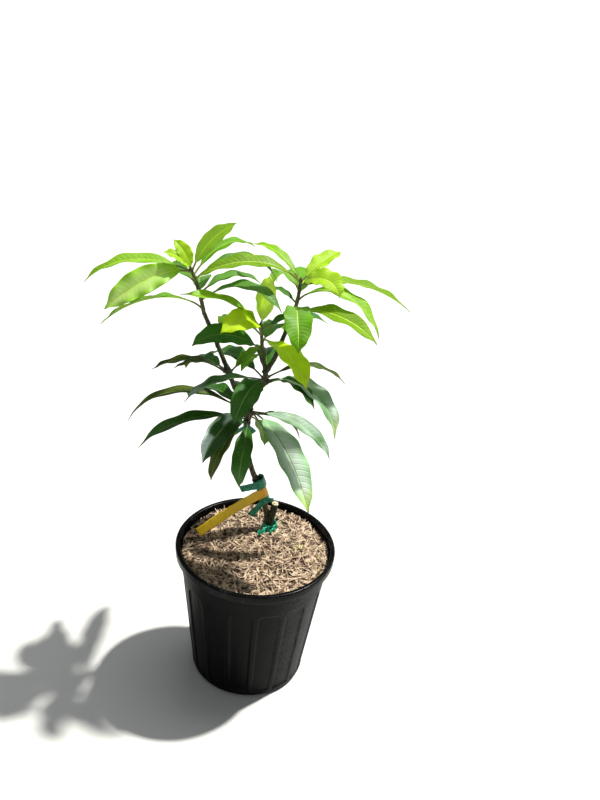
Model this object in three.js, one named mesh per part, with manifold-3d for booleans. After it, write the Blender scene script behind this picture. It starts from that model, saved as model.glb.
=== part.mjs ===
// Young mango tree with its nursery pot. Millimetres, Z up, front to -Y.
// The origin is the centre of the pot's underside.
import * as THREE from 'three';
import Module from 'manifold-3d';

const wasm = await Module();
wasm.setup();

// ---- driving sizes ----------------------------------------------------------
const GAP = 0.3; // clear space left between neighbouring parts
const DEG = Math.PI / 180;

const POT = {
  height: 158, rimRadius: 82.5, rimDrop: 9.5, bandRadius: 79.6, bandDrop: 12,
  topRadius: 76.8, footRadius: 59.5, footRound: 5, wall: 1.6, floor: 2.4,
  panels: 16, panelTop: 125, panelFoot: 7, panelCorner: 6, recess: 1.3, ribShare: 0.16, turn: 4.5,
};
const SOIL = { top: 148, heap: 1.6, backRise: 4, sides: 36, rings: 8, levelRadius: 12 };
const FOOT = [8, 40, SOIL.top + GAP]; // where the trunk's flat foot meets the soil

// Stems: points along each axis, as across, back and up from the trunk's foot, with the
// radius at the stem's own foot and at its tip.
const TRUNK = {
  points: [[3, 0, 0], [0.5, 0, 22], [-6, 0, 43], [-14, 0, 64], [-21, 0, 84], [-25.5, 0, 112], [-26.5, 0, 130],
    [-24.8, 0, 146], [-19.5, 0, 164], [-11.5, 0, 183], [-13, 1, 195], [-16, 2, 207]],
  foot: 3.2, tip: 2.1, sides: 10, rows: 30,
};
const STUB = { points: [[4.5, -1, 0], [6, -0.5, 15], [9, 0, 33]], foot: 4.3, tip: 3.6, sides: 10, rows: 6 };
const FLARE = { radius: 5.6, height: 9 };
const BOUGH_LEFT = {
  points: [[-24, 0, 146], [-32, 0, 156], [-39, -1, 167], [-48.5, -2, 190], [-61, -4, 221], [-74, -6, 252]],
  foot: 2.9, tip: 2.1, sides: 8, rows: 12,
};
const BOUGH_RIGHT = {
  points: [[-12.4, 0.6, 190], [-8, 0, 198], [-4, -1, 207], [3, -2, 232], [10.5, -4, 259]],
  foot: 2.7, tip: 2, sides: 8, rows: 12,
};
const TWIG_LEFT = {
  points: [[-74, -6, 252], [-77, -7, 266], [-81, -8, 280], [-86, -9.5, 294]],
  foot: 2.1, tip: 1.7, sides: 8, rows: 5,
};
const TWIG_RIGHT = {
  points: [[10.5, -4, 259], [12.5, -4.5, 269], [13.5, -5, 280], [14, -5, 290]],
  foot: 2, tip: 1.6, sides: 8, rows: 5,
};
const TWIG_CENTRE = {
  points: [[-16, 2, 207], [-17.5, 4, 221], [-19.5, 5, 236]],
  foot: 2.1, tip: 1.6, sides: 8, rows: 5,
};

// Collars are the swollen nodes that side leaves grow from, as stretches along a limb,
// in mm from its foot.
const COLLAR_WALL = 2.2;
const COLLAR_LOWER = { on: TRUNK, from: 139, to: 150 };
const COLLAR_FORK = { on: TRUNK, from: 183, to: 192 };
const COLLAR_MID = { on: BOUGH_LEFT, from: 44, to: 53 };

// ---- leaf rule --------------------------------------------------------------
// Each leaf: [place, heading, rise, length, width, droop, swing, roll].
// place: share of the way along its twig or collar; heading: 0 to +X, 90 to +Y, in degrees;
// rise: angle above level at the root; length: stalk and blade, mm; droop: how far the rise falls
// by the tip; swing: how far the heading turns by the tip; roll: turn about the midrib; bend, where
// given: under 1 for a leaf that bends over early, above 1 for one that bends late.
const LEAF = {
  stalkShare: 0.14, stalk: 1, knuckle: 1.5, fold: 18, bend: 1.3, steps: 60,
  rise: 0.76, taper: 0.84, drip: 0.45, midrib: 0.5, thin: 1.1,
};

const LEFT_LEAVES = [
  [0.95, 203, 75, 92, 27, 117, 0, -50, 0.25],
  [1.0, 172, 16, 111, 20, 67, 8, -12],
  [1.0, 195, 58, 34, 14, 52, -5, -20],
  [1.0, 157, 70, 34, 15, 40, 0, -30],
  [1.0, -30, 72, 76, 16, 40, 0, -65, 1.0],
  [0.9, 52, 44, 85, 15, 82, -15, 0],
  [0.8, 17, 47, 95, 17, 117, -4, 0],
  [0.45, 42, 34, 71, 15, 77, -29, 0],
  [0.3, -3, 44, 90, 18, 98, -26, 0],
  [0.05, 192, 67, 108, 20, 114, -5, 18, 0.5],
];
const CENTRE_LEAVES = [
  [1.0, 295, 82, 56, 18, 8, 0, 0],
  [0.95, 245, 50, 69, 26, 82, -25, -40],
  [0.9, 32, 27, 74, 18, 62, -23, 0],
  [0.6, 309, 14, 80, 28, 76, 6, -10],
  [0.6, 223, 85, 113, 17, 81, -18, -10, 0.6],
  [0.2, 200, 38, 79, 24, 84, 2, -35, 1.8],
  [0.1, 217, -6, 30, 11, 47, 14, 0],
];
const RIGHT_LEAVES = [
  [1.0, 195, 52, 106, 20, 91, -11, -15, 0.8],
  [1.0, 140, 48, 66, 13, 66, 10, 0],
  [1.0, 44, 35, 59, 20, 40, 9, 0],
  [0.85, 350, 52, 50, 26, 124, -30, 20],
  [0.3, -8, 81, 106, 21, 152, -6, 0, 0.6],
  [0.05, 323, 25, 95, 20, 70, 20, 10],
  [0.9, 12, 14, 114, 17, 54, -14, 0, 1.1],
  [0.2, 271, 27, 70, 28, 110, 11, 0],
  [0.3, 138, 26, 38, 9, 44, 6, 0],
];
const FORK_LEAVES = [
  [0.9, 249, 20, 76, 26, 76, 0, -10],
  [0.7, 321, 34, 112, 20, 127, 8, 0],
  [0.3, 316, 42, 77, 17, 88, -8, 0],
  [0.9, 36, 16, 92, 14, 64, -37, 0],
  [0.7, 208, 22, 86, 18, 74, -12, 10],
];
const MID_LEAVES = [
  [0.5, 191, 48, 77, 15, 86, -11, 0, 0.8],
  [0.7, 215, 46, 60, 12, 72, -10, 0],
  [0.6, 39, 36, 40, 14, 18, 3, 0],
];
const LOWER_LEAVES = [
  [0.95, 311, 35, 125, 30, 98, 0, 5, 0.42],
  [0.9, 347, 8, 99, 17, 78, 6, 10],
  [0.5, 18, 0, 68, 15, 76, -2, 0],
  [0.4, 195, 10, 118, 18, 67, -12, 0],
  [0.2, 246, 36, 89, 24, 107, -14, -20],
  [0.1, 236, -12, 76, 15, 80, -10, 0],
  [0.1, 272, -3, 79, 20, 108, -26, 0],
  [0.2, 57, -36, 64, 22, 50, 9, 0],
  [0.7, 19, -56, 70, 12, 12, -9, 0],
  [0.8, 187, 38, 136, 17, 105, -5, 0],
];

// Leaves behind, by a seeded rule: spread over a range of headings with small random changes.
const BACK = {
  left: { count: 2, from: 80, to: 150, length: 95, seed: 11 },
  centre: { count: 2, from: 60, to: 150, length: 85, seed: 23 },
  right: { count: 2, from: 60, to: 125, length: 95, seed: 37 },
  fork: { count: 2, from: 70, to: 150, length: 100, seed: 41 },
  mid: { count: 1, from: 110, to: 150, length: 75, seed: 53 },
  lower: { count: 2, from: 80, to: 150, length: 105, seed: 67 },
};

// Ties are bands of tape round a stem: `at` mm up it, `out` clear of it and moved by `aside` to the
// right, so that they hang loose on that side. Each tail: the angle round the band and the height on
// it where the tail leaves, its free end and its width. The label is a plain strip that hangs from
// a loop of the same kind.
const TAPE = 0.7;
const TIES = [
  { name: 'tie_upper', on: TRUNK, at: 131, out: 0.9, aside: 0, width: 10,
    tails: [[-110, 1.5, [-38, -5, 120], 4], [-60, 1.5, [-18.3, -5, 123], 5]] },
  { name: 'tie_lower', on: TRUNK, at: 61, out: 3.4, aside: 2.7, width: 10,
    tails: [[-100, 0, [-28.5, -7.5, 54], 8]] },
  { name: 'tie_graft', on: TRUNK, at: 40, out: 2.4, aside: 1.7, width: 8,
    tails: [[-105, -1, [-16, -8, 22], 7], [-60, 1, [6.5, -4.8, 41], 5]] },
];
const BASE_TIE = {
  name: 'tie_base', on: STUB, at: 4.9, out: 3.6, aside: 0, width: 8,
  tails: [[-110, 0, [-6.5, -17, 4.6], 7], [-60, 0, [6, -13, 4.2], 5]],
};
const LABEL = { at: 50, out: 2.6, aside: 1.9, width: 11, thick: 0.8, bend: [-29, -16, 41], tip: [-68, -38, 17] };

// ---- materials --------------------------------------------------------------
const paint = (color, roughness) => new THREE.MeshStandardMaterial({ color, roughness, metalness: 0 });
const BLACK_PLASTIC = paint(0x1b1c1e, 0.5);
const MULCH = paint(0x8a6a4a, 0.95);
const BARK = paint(0x5a4a32, 0.85);
const GREEN_BARK = paint(0x56592c, 0.75);
const YOUNG_LEAF = paint(0x86b51e, 0.45);
const OLD_LEAF = paint(0x2f6a2b, 0.45);
const TIE_GREEN = paint(0x0b6a52, 0.5);
const TIE_BRIGHT = paint(0x19b893, 0.5);
const LABEL_YELLOW = paint(0xdba514, 0.5);

// ---- solids -----------------------------------------------------------------
function solidFrom(positions, triangles) {
  return new wasm.Manifold(new wasm.Mesh({
    numProp: 3,
    vertProperties: Float32Array.from(positions.flatMap((p) => [p.x, p.y, p.z])),
    triVerts: Uint32Array.from(triangles),
  }));
}

function meshFrom(name, solid, material) {
  const raw = solid.getMesh();
  const geometry = new THREE.BufferGeometry();
  geometry.setAttribute('position', new THREE.BufferAttribute(Float32Array.from(raw.vertProperties), 3));
  geometry.setIndex(new THREE.BufferAttribute(Uint32Array.from(raw.triVerts), 1));
  geometry.computeVertexNormals();
  const mesh = new THREE.Mesh(geometry, material);
  mesh.name = name;
  return mesh;
}

// A closed skin over a row of rings. Each ring turns counterclockwise about the row's direction.
// Ends are fans from point `hub` of the ring.
function loft(rings, hub = 0) {
  const n = rings[0].length;
  const triangles = [];
  for (let i = 0; i + 1 < rings.length; i += 1) {
    for (let j = 0; j < n; j += 1) {
      const k = (j + 1) % n;
      const [a, b, c, d] = [i * n + j, i * n + k, (i + 1) * n + k, (i + 1) * n + j];
      triangles.push(a, b, c, a, c, d);
    }
  }
  const last = (rings.length - 1) * n;
  for (let j = 1; j + 1 < n; j += 1) {
    const [p, q] = [(hub + j) % n, (hub + j + 1) % n];
    triangles.push(hub, q, p, last + hub, last + p, last + q);
  }
  return solidFrom(rings.flat(), triangles);
}

// The biggest of the pieces that a cut leaves.
const largest = (solid) => solid.decompose().reduce((a, b) => (b.volume() > a.volume() ? b : a));

const vector = (p) => new THREE.Vector3(...p);
const fromFoot = (p) => vector(p).add(vector(FOOT));
const curveOf = (stem) => new THREE.CatmullRomCurve3(stem.points.map(fromFoot), false, 'centripetal');

// Round limb along a stem, `extra` fatter all round and longer at both ends.
function limb(stem, extra = 0) {
  const curve = curveOf(stem);
  const { sides, rows } = stem;
  const rings = [];
  let side = new THREE.Vector3(1, 0, 0);
  for (let i = 0; i <= rows; i += 1) {
    const share = i / rows;
    const axis = curve.getTangentAt(share);
    const centre = curve.getPointAt(share);
    if (extra > 0 && i === 0) centre.addScaledVector(axis, -extra);
    if (extra > 0 && i === rows) centre.addScaledVector(axis, extra);
    side = side.clone().addScaledVector(axis, -side.dot(axis)).normalize();
    const other = axis.clone().cross(side);
    const radius = extra + THREE.MathUtils.lerp(stem.foot, stem.tip, share);
    rings.push(ringAround(centre, side, other, radius, radius, sides));
  }
  return loft(rings);
}

function ringAround(centre, side, other, a, b, sides) {
  return Array.from({ length: sides }, (_, j) => {
    const turn = (2 * Math.PI * j) / sides;
    return centre.clone()
      .addScaledVector(side, a * Math.cos(turn)).addScaledVector(other, b * Math.sin(turn));
  });
}

// ---- leaves -----------------------------------------------------------------
// Share of the full width at share s along the blade: a lance shape, widest before the middle and
// drawn in to a narrow drip tip.
function lance(s) {
  const peak = LEAF.rise / (LEAF.rise + LEAF.taper);
  const at = (x) => x ** LEAF.rise * (1 - x) ** LEAF.taper;
  const drip = 1 - LEAF.drip * THREE.MathUtils.smoothstep(s, 0.84, 0.97);
  return s <= 0 || s >= 1 ? 0 : (drip * at(s)) / at(peak);
}

// Frames along a leaf's midrib: the rise falls and the heading turns as share ** bend.
function midrib(root, [, heading, rise, length, , droop, swing, , bend = LEAF.bend]) {
  const frames = [];
  const point = root.clone();
  for (let i = 0; i <= LEAF.steps; i += 1) {
    const here = directionAt((i / LEAF.steps) ** bend, heading, rise, droop, swing);
    frames.push({ point: point.clone(), ...here });
    const half = directionAt(((i + 0.5) / LEAF.steps) ** bend, heading, rise, droop, swing);
    point.addScaledVector(half.ahead, length / LEAF.steps);
  }
  return frames;
}

function directionAt(fall, heading, rise, droop, swing) {
  const up = (rise - droop * fall) * DEG;
  const turn = (heading + swing * fall) * DEG;
  const ahead = new THREE.Vector3(Math.cos(up) * Math.cos(turn), Math.cos(up) * Math.sin(turn), Math.sin(up));
  return { ahead, left: new THREE.Vector3(-Math.sin(turn), Math.cos(turn), 0) };
}

const BLADE_ROWS = [0, 4, 8.4, 13, 19, 26, 34, 42, 49, 55, 60];

function leaf(root, row) {
  const [, , , length, width, , , roll] = row;
  const frames = midrib(root, row);
  const edge = Math.max(LEAF.thin, length / 100) / 2;
  const rings = BLADE_ROWS.map((step) => {
    const { point, ahead, left } = frames[Math.round(step)];
    const s = (step / LEAF.steps - LEAF.stalkShare) / (1 - LEAF.stalkShare);
    const start = step === 0 ? LEAF.knuckle : LEAF.stalk;
    const half = Math.max(start * (s > 0.9 ? 0.35 : 1), (width / 2) * lance(s));
    const fold = LEAF.fold * DEG * Math.min(1, Math.max(0, s * 6));
    const side = left.clone().applyAxisAngle(ahead, roll * DEG);
    const up = ahead.clone().cross(side);
    const mid = edge + (s < 0 ? start - edge : LEAF.midrib);
    const place = (across, lift) => point.clone()
      .addScaledVector(side, across * Math.cos(fold))
      .addScaledVector(up, Math.abs(across) * Math.sin(fold) + lift);
    return [place(half, edge), place(0, mid), place(-half, edge),
      place(-half, -edge), place(0, -mid), place(half, -edge)];
  });
  return loft(rings, 1);
}

// Repeatable random numbers from 0 to 1.
function seeded(seed) {
  let state = seed;
  return () => {
    state = (state * 16807) % 2147483647;
    return state / 2147483647;
  };
}

function backLeaves({ count, from, to, length, seed }) {
  const random = seeded(seed);
  random();
  return Array.from({ length: count }, (_, i) => {
    const heading = from + ((to - from) * (i + 0.5)) / count + 10 * (random() - 0.5);
    return [0.25 + (0.6 * (i + 0.5)) / count, heading, 8 + 12 * random(),
      length * (0.9 + 0.2 * random()), 22 + 3 * random(), 62 + 16 * random(), 20 * (random() - 0.5), 0];
  });
}

// A twig with its leaves, kept clear of the limb that carries it.
function twigMass(twig, carrier, rows) {
  const curve = curveOf(twig);
  const stem = limb(twig).subtract(limb(carrier, GAP));
  return rows.reduce((mass, row) => mass.add(leaf(curve.getPointAt(row[0]), row)), stem);
}

// A collar round a limb with its leaves; their roots are sunk in its wall.
function collarMass({ on, from, to }, others, rows) {
  const curve = curveOf(on);
  const total = curve.getLength();
  const stretch = (share) => curve.getPointAt((from + (to - from) * share) / total);
  const radiusAt = (share) => THREE.MathUtils.lerp(on.foot, on.tip, (from + (to - from) * share) / total);
  const sleeve = {
    points: [0, 0.5, 1].map((share) => stretch(share).sub(vector(FOOT)).toArray()),
    foot: radiusAt(0) + GAP + COLLAR_WALL, tip: radiusAt(1) + GAP + COLLAR_WALL, sides: 10, rows: 3,
  };
  const clear = others.reduce((cut, other) => cut.add(limb(other, GAP)), limb(on, GAP));
  const collar = largest(limb(sleeve).subtract(clear));
  return rows.reduce((mass, row) => {
    const out = new THREE.Vector3(Math.cos(row[1] * DEG), Math.sin(row[1] * DEG), 0);
    const root = stretch(row[0]).addScaledVector(out, radiusAt(row[0]) + GAP + 0.6 * COLLAR_WALL);
    return mass.add(leaf(root, row));
  }, collar);
}

// ---- trunk and boughs -------------------------------------------------------
function trunkSolid() {
  const flare = limb({
    points: [0, 0.5, 1].map((share) => [3.7 - 1.5 * share, -0.5, FLARE.height * share]),
    foot: FLARE.radius, tip: TRUNK.foot, sides: 12, rows: 4,
  });
  return limb(TRUNK).add(limb(STUB)).add(flare).trimByPlane([0, 0, 1], FOOT[2]);
}

const boughSolid = (stem) => largest(limb(stem).subtract(limb(TRUNK, GAP)));

// ---- pot and soil -----------------------------------------------------------
// Outer radius of the pot's body at height z, before the panels are sunk in.
function bodyRadius(z) {
  const slope = (POT.topRadius - POT.footRadius) / (POT.height - POT.bandDrop);
  const straight = POT.footRadius + slope * z;
  if (z >= POT.footRound) return straight;
  const drop = POT.footRound - z;
  return straight - (POT.footRound - Math.sqrt(POT.footRound ** 2 - drop ** 2));
}

// Height of a panel's upper edge at v, from 0 at its middle to 1 halfway across the rib.
function panelEdge(v) {
  const corner = 0.4;
  const past = (v - (1 - POT.ribShare - corner)) / corner;
  if (past <= 0) return POT.panelTop;
  return POT.panelTop - 2 * POT.panelCorner * (1 - Math.sqrt(Math.max(0, 1 - past ** 2)));
}

// Places across one panel, from -1 to 1; the first and last are the ribs' edges.
const RIB = 1 - POT.ribShare;
const COLUMNS = [-RIB, -RIB + 0.04, -0.64, -0.4, 0.4, 0.64, RIB - 0.04, RIB];

function potTurns() {
  const step = (2 * Math.PI) / POT.panels;
  const front = POT.turn * DEG - Math.PI / 2;
  const across = (k) => COLUMNS.map((v) => front + (k + (v + 1) / 2) * step);
  return Array.from({ length: POT.panels }, (_, k) => across(k)).flat();
}

// Heights of the body's rows at place v across a panel, each with whether it lies in the panel.
function bodyRows(v) {
  const edge = panelEdge(Math.abs(v));
  const inside = Math.abs(v) < RIB - 0.01;
  return [
    [0, false], [POT.footRound * 0.3, false], [POT.footRound, false],
    [POT.panelFoot + 1.5, inside], [edge - 1, inside], [edge + 0.4, false],
    [POT.height - POT.bandDrop, false],
  ];
}

function potSolid() {
  const turns = potTurns();
  const at = (r, turn, z) => new THREE.Vector3(r * Math.cos(turn), r * Math.sin(turn), z);
  const rows = COLUMNS.map(bodyRows);
  const body = rows[0].map((_, row) => turns.map((turn, index) => {
    const [z, sunk] = rows[index % COLUMNS.length][row];
    return at(bodyRadius(z) - (sunk ? POT.recess : 0), turn, z);
  }));
  const under = POT.height - POT.rimDrop;
  const lip = [[POT.bandRadius, POT.height - POT.bandDrop + 0.6], [POT.bandRadius + 0.3, under],
    [POT.rimRadius - 0.3, under + 0.2], [POT.rimRadius, POT.height - 1.2], [POT.rimRadius - 0.9, POT.height]];
  const rings = [...body, ...lip.map(([r, z]) => turns.map((turn) => at(r, turn, z)))];
  return loft(rings).subtract(hollow(0, POT.height + 1));
}

// The space inside the pot, `inset` smaller all round, from its floor up to height `top`.
function hollow(inset, top) {
  const floor = POT.floor + inset;
  const radius = (z) => bodyRadius(z) - POT.wall - POT.recess - inset;
  const mouth = POT.bandRadius - POT.wall - inset;
  const step = POT.height - POT.bandDrop + 1;
  const profile = [[radius(floor + 3) - 3, floor], [radius(floor + 3), floor + 3], [radius(step), step],
    [mouth - 0.4, step + 2], [mouth + (top - step - 2) * 0.02, top]];
  return loft(profile.map(([r, z]) => ringAround(new THREE.Vector3(0, 0, z),
    new THREE.Vector3(1, 0, 0), new THREE.Vector3(0, 1, 0), r, r, 64)));
}

// Low heaps of mulch, higher at the back and level round the trunk's foot.
function soilHeight(x, y) {
  const heaps = Math.sin(x / 9 + 1.3) * Math.cos(y / 11) + 0.5 * Math.sin((x + y) / 5.5);
  const away = Math.hypot(x - FOOT[0], y - FOOT[1]) - SOIL.levelRadius;
  const fade = THREE.MathUtils.clamp(away / SOIL.levelRadius, 0, 1);
  return SOIL.top + fade * (SOIL.heap * heaps * 0.5 + SOIL.backRise * (y / POT.bandRadius - 0.35));
}

// The filling: the pot's inside, less a cutter whose underside is the heaped top.
function soilSolid() {
  const high = POT.height - 0.5;
  const spots = [[FOOT[0], FOOT[1]]];
  for (let ring = 1; ring <= SOIL.rings; ring += 1) {
    const share = ring / SOIL.rings;
    for (let k = 0; k < SOIL.sides; k += 1) {
      const turn = (2 * Math.PI * k) / SOIL.sides;
      spots.push([FOOT[0] * (1 - share) + POT.rimRadius * share * Math.cos(turn),
        FOOT[1] * (1 - share) + POT.rimRadius * share * Math.sin(turn)]);
    }
  }
  const lower = spots.map(([x, y]) => new THREE.Vector3(x, y, soilHeight(x, y)));
  const upper = spots.map(([x, y]) => new THREE.Vector3(x, y, high + 5));
  const n = spots.length;
  const triangles = discFaces().flatMap(([i, j, k]) => [i, k, j, n + i, n + j, n + k]);
  const edge = n - SOIL.sides;
  for (let k = 0; k < SOIL.sides; k += 1) {
    const [p, q] = [edge + k, edge + ((k + 1) % SOIL.sides)];
    triangles.push(p, q, n + q, p, n + q, n + p);
  }
  return hollow(GAP, high).subtract(solidFrom([...lower, ...upper], triangles));
}

// Faces of a disc of rings round its first point, counterclockwise from above.
function discFaces() {
  const faces = [];
  const at = (ring, k) => 1 + (ring - 1) * SOIL.sides + (k % SOIL.sides);
  for (let k = 0; k < SOIL.sides; k += 1) {
    faces.push([0, at(1, k), at(1, k + 1)]);
    for (let ring = 1; ring < SOIL.rings; ring += 1) {
      faces.push([at(ring, k), at(ring + 1, k), at(ring + 1, k + 1)]);
      faces.push([at(ring, k), at(ring + 1, k + 1), at(ring, k + 1)]);
    }
  }
  return faces;
}

// ---- ties and label ---------------------------------------------------------
// A flat band along points, its width in the direction `across`.
function ribbon(points, across, width, thick) {
  const rings = points.map((point, i) => {
    const next = points[Math.min(i + 1, points.length - 1)];
    const ahead = next.clone().sub(points[Math.max(i - 1, 0)]).normalize();
    const wide = across.clone().addScaledVector(ahead, -across.dot(ahead)).normalize();
    const face = ahead.clone().cross(wide);
    return [[1, 1], [-1, 1], [-1, -1], [1, -1]].map(([a, b]) => point.clone()
      .addScaledVector(wide, (a * width) / 2).addScaledVector(face, (b * thick) / 2));
  });
  return loft(rings);
}

// A ring round a limb, `out` from its skin, `at` mm up it and moved by `aside` across: its axis and
// its point at any angle.
function ringOn({ on, at, out, aside }) {
  const curve = curveOf(on);
  const share = at / curve.getLength();
  const axis = curve.getTangentAt(share);
  const side = new THREE.Vector3(1, 0, 0).addScaledVector(axis, -axis.x).normalize();
  const other = axis.clone().cross(side);
  const centre = curve.getPointAt(share).addScaledVector(side, aside);
  const radius = THREE.MathUtils.lerp(on.foot, on.tip, share) + out;
  const point = (angle) => centre.clone()
    .addScaledVector(side, radius * Math.cos(angle * DEG)).addScaledVector(other, radius * Math.sin(angle * DEG));
  const arc = (from, to, steps) => Array.from({ length: steps + 1 }, (_, i) => point(from + ((to - from) * i) / steps));
  return { axis, point, arc };
}

function tieSolid(tie) {
  const { axis, point, arc } = ringOn(tie);
  const band = ribbon(arc(-255, 85, 18), axis, tie.width, TAPE);
  return tie.tails.reduce((solid, [angle, up, end, wide]) => {
    const [a, b] = [point(angle).addScaledVector(axis, up), fromFoot(end)];
    const middle = a.clone().lerp(b, 0.5).add(new THREE.Vector3(0, -1, 0.8));
    return solid.add(ribbon([a, middle, b], axis, wide, TAPE));
  }, band);
}

function labelSolid() {
  const { axis, arc } = ringOn({ ...LABEL, on: TRUNK });
  const points = arc(160, -80, 14);
  const tail = new THREE.QuadraticBezierCurve3(points.at(-1), fromFoot(LABEL.bend), fromFoot(LABEL.tip));
  return ribbon([...points, ...tail.getPoints(8).slice(1)], axis, LABEL.width, LABEL.thick);
}

// ---- the plant --------------------------------------------------------------
const withBack = (rows, back) => [...rows, ...backLeaves(back)];
const youngMasses = {
  foliage_left: twigMass(TWIG_LEFT, BOUGH_LEFT, withBack(LEFT_LEAVES, BACK.left)),
  foliage_centre: twigMass(TWIG_CENTRE, TRUNK, withBack(CENTRE_LEAVES, BACK.centre)),
  foliage_right: twigMass(TWIG_RIGHT, BOUGH_RIGHT, withBack(RIGHT_LEAVES, BACK.right)),
};
const oldMasses = {
  foliage_fork: collarMass(COLLAR_FORK, [BOUGH_RIGHT], withBack(FORK_LEAVES, BACK.fork)),
  foliage_mid: collarMass(COLLAR_MID, [], withBack(MID_LEAVES, BACK.mid)),
  foliage_lower: collarMass(COLLAR_LOWER, [BOUGH_LEFT], withBack(LOWER_LEAVES, BACK.lower)),
};

const tree = new THREE.Group();
tree.name = 'mango_sapling';
tree.add(meshFrom('pot', potSolid(), BLACK_PLASTIC));
tree.add(meshFrom('soil', soilSolid(), MULCH));
tree.add(meshFrom('trunk', trunkSolid(), BARK));
tree.add(meshFrom('bough_left', boughSolid(BOUGH_LEFT), GREEN_BARK));
tree.add(meshFrom('bough_right', boughSolid(BOUGH_RIGHT), GREEN_BARK));
for (const [name, solid] of Object.entries(youngMasses)) tree.add(meshFrom(name, solid, YOUNG_LEAF));
for (const [name, solid] of Object.entries(oldMasses)) tree.add(meshFrom(name, solid, OLD_LEAF));
for (const tie of TIES) tree.add(meshFrom(tie.name, tieSolid(tie), TIE_GREEN));
tree.add(meshFrom(BASE_TIE.name, tieSolid(BASE_TIE), TIE_BRIGHT));
tree.add(meshFrom('label_strip', labelSolid(), LABEL_YELLOW));

export default tree;
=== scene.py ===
"""Looks of a young mango tree in a nursery pot: leaves, bark, mulch, tape and plastic.

Tables and shapes are in millimetres, in the frame's own axes, and become metres when a mesh is made.
"""

import bpy
import numpy as np
from mathutils import Matrix, Vector
from numpy import arange, array, clip, concatenate, cos, exp, linspace, pi, radians, sin, sqrt, stack, where


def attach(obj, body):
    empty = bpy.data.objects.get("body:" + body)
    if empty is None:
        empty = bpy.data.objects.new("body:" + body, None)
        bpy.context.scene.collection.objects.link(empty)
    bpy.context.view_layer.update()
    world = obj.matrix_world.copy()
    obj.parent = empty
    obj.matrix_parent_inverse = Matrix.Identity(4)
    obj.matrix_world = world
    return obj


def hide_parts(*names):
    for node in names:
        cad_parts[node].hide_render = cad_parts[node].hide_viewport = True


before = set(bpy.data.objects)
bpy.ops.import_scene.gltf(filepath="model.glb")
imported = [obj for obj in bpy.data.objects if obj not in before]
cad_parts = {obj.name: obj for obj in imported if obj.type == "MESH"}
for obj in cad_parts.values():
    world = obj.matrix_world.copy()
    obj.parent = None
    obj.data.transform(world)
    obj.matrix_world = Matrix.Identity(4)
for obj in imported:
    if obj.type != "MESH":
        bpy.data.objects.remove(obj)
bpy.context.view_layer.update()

MM = 0.001
UP = array([0.0, 0.0, 1.0])
RIGHT = array([1.0, 0.0, 0.0])

# ---- camera, floor and light ----
CAMERA = dict(place=(0.0, -0.821, 0.806), yaw=2.16, pitch=29.91, roll=5.63, lens=45.0)
SUN = dict(turn=29.0, height=60.0, strength=6.4, spread=2.5, colour=(1.0, 0.98, 0.92))
SKY_PANEL = dict(place=(0.25, 0.45, 1.6), size=1.0, power=9.0)
WORLD = dict(colour=(0.93, 0.97, 1.0), strength=0.27)
FLOOR = dict(half=30.0, colour="#c9c9c7")


def put(name, data):
    """A new object in the scene."""
    made = bpy.data.objects.new(name, data)
    bpy.context.scene.collection.objects.link(made)
    return made


def make_camera():
    """The camera at its place, its directions worked out from yaw, pitch and roll in degrees."""
    yaw, pitch, roll = (radians(CAMERA[k]) for k in ("yaw", "pitch", "roll"))
    ahead = array([sin(yaw) * cos(pitch), cos(yaw) * cos(pitch), -sin(pitch)])
    level = array([cos(yaw), -sin(yaw), 0.0])
    side = cos(roll) * level + sin(roll) * np.cross(level, ahead)
    turn = Matrix((side, np.cross(side, ahead), -ahead)).transposed().to_4x4()
    data = bpy.data.cameras.new("camera")
    data.lens = CAMERA["lens"]
    camera = put("camera", data)
    camera.matrix_world = Matrix.Translation(CAMERA["place"]) @ turn
    bpy.context.scene.camera = camera


def make_lights():
    """A sun from the right, a wide soft panel overhead and an even pale sky."""
    turn, height = radians(SUN["turn"]), radians(SUN["height"])
    towards = Vector((cos(height) * cos(turn), cos(height) * sin(turn), sin(height)))
    sun = bpy.data.lights.new("sun", "SUN")
    sun.energy = SUN["strength"]
    sun.angle = radians(SUN["spread"])
    sun.color = SUN["colour"]
    put("sun", sun).rotation_euler = towards.to_track_quat("Z", "Y").to_euler()
    panel = bpy.data.lights.new("sky_panel", "AREA")
    panel.size = SKY_PANEL["size"]
    panel.energy = SKY_PANEL["power"]
    put("sky_panel", panel).location = SKY_PANEL["place"]
    world = bpy.data.worlds.new("world")
    world.use_nodes = True
    background = world.node_tree.nodes["Background"]
    background.inputs["Color"].default_value = (*WORLD["colour"], 1.0)
    background.inputs["Strength"].default_value = WORLD["strength"]
    bpy.context.scene.world = world
    bpy.context.scene.view_settings.view_transform = "Standard"


# ---- finishes ----
NOISE_ROUGHNESS = 0.55


def tone(code):
    """A web colour as linear red, green, blue and alpha."""
    parts = array([int(code[i:i + 2], 16) for i in (1, 3, 5)]) / 255
    linear = where(parts > 0.04045, ((parts + 0.055) / 1.055) ** 2.4, parts / 12.92)
    return (*linear.tolist(), 1.0)


def darker(code, share):
    """A web colour in a share of its own light."""
    return tuple(share * part for part in tone(code)[:3]) + (1.0,)


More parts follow.
